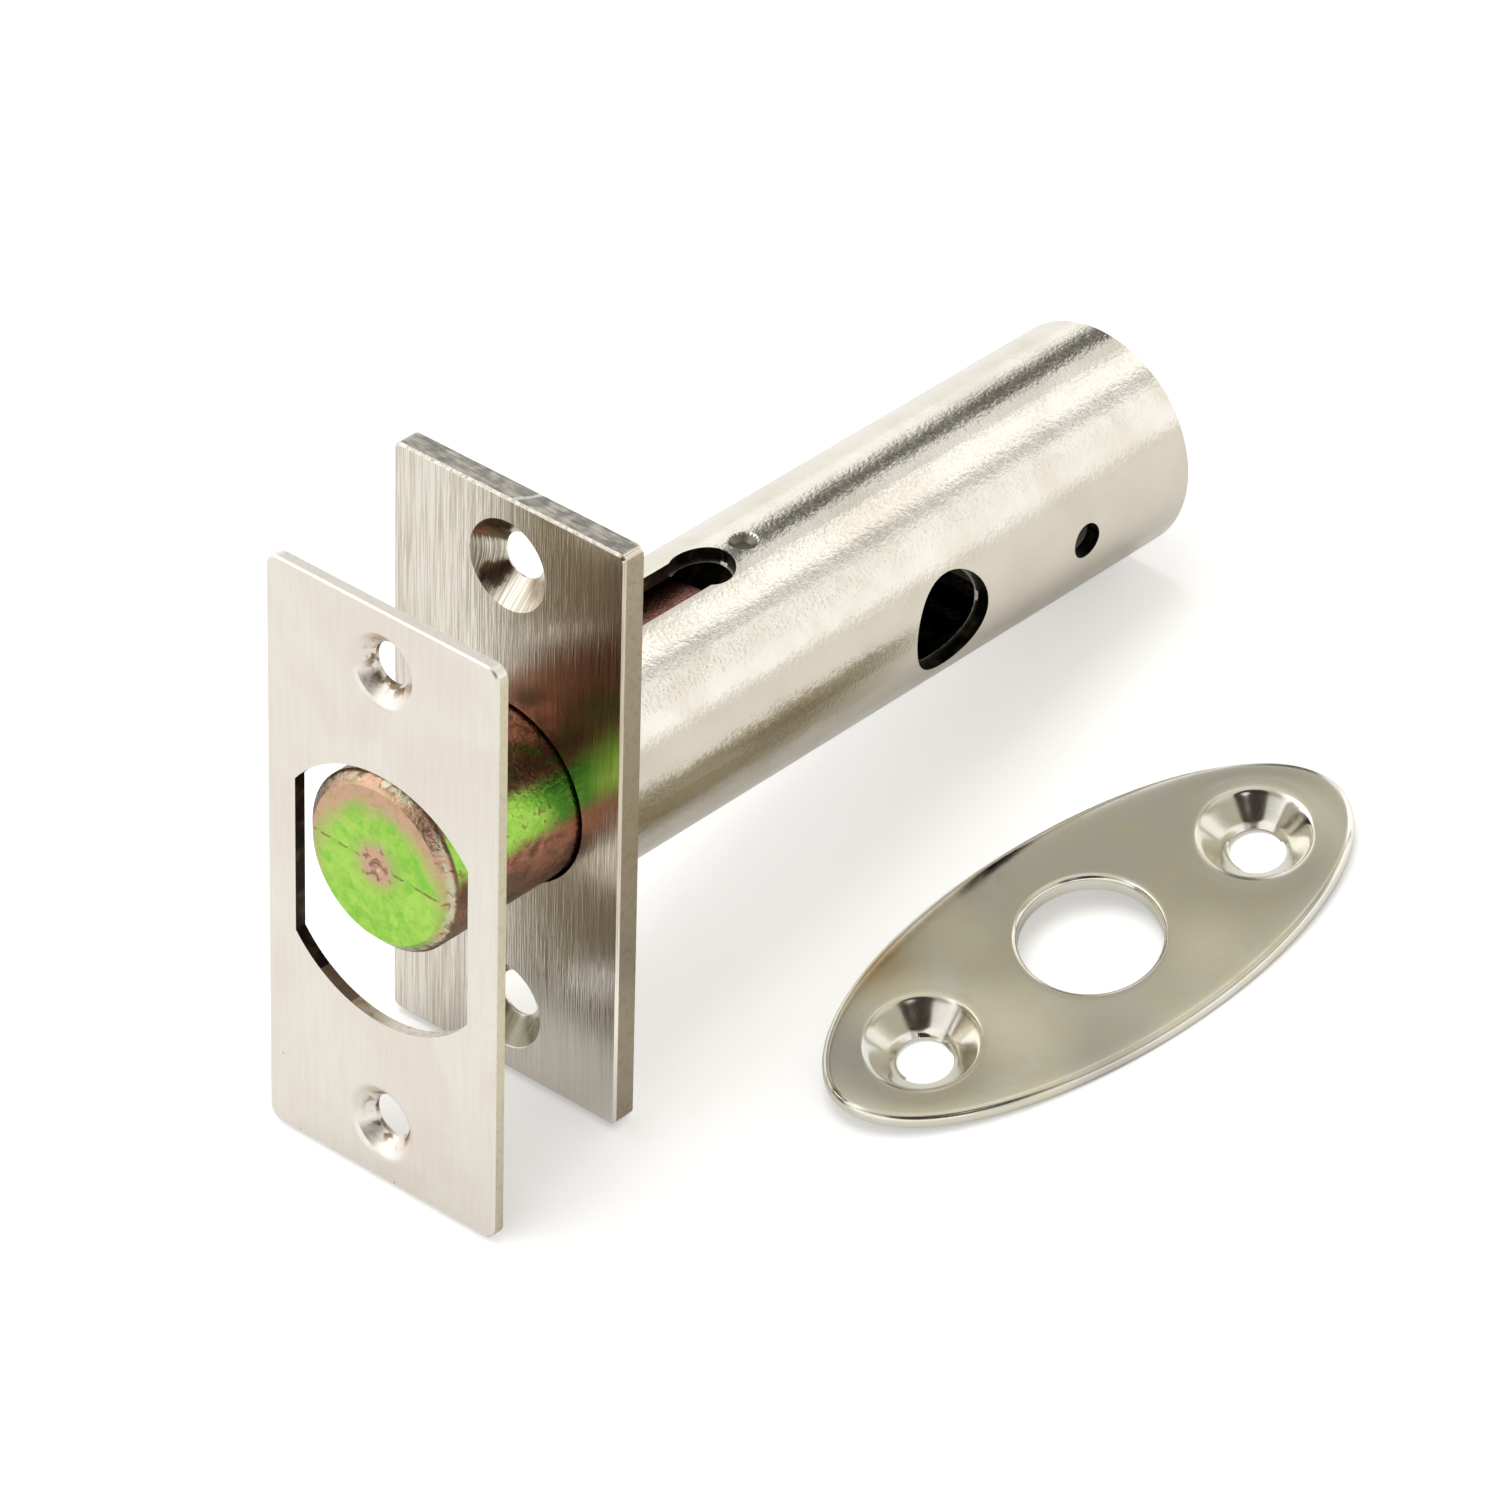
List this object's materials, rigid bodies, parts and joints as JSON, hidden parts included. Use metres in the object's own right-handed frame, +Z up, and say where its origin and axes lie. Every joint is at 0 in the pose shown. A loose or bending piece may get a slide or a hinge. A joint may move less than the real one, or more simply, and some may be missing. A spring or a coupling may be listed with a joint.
{
  "type": "door bolt",
  "caption": "Mortice door bolt set: tube lock with forend and key-driven round bolt, strike plate hung on the bolt, and an oval key escutcheon beside it.",
  "frame": {"origin": "middle of the forend's back face, on the bolt's axis, where the door's edge meets its bore", "axes": "the set lies as on a table: +Z up from the table, +Y level along the tube into the door, +X across the forend, to the key's side. The lock leans back about 13.4 degrees on its forend and the tube's end."},
  "size_m": [0.0525, 0.0868, 0.0494],
  "materials": {
    "forend": "brushed nickel plate",
    "tube": "bright nickel plate",
    "bolt": "passivated zinc plate, green and red-brown",
    "pin": "passivated zinc plate",
    "strike": "satin nickel plate",
    "escutcheon": "polished nickel plate"
  },
  "bodies": {
    "lock": {"forend_plate": "forend", "barrel_tube": "tube", "strike_plate": "strike", "key_escutcheon": "escutcheon"},
    "bolt": {"bolt": "bolt", "guide_pin": "pin"}
  },
  "joints": [
    {"name": "bolt_throw", "type": "slide", "parent": "lock", "child": "bolt", "axis": [0, -0.9727, 0.232], "range_m": [-0.0135, 0]}
  ]
}
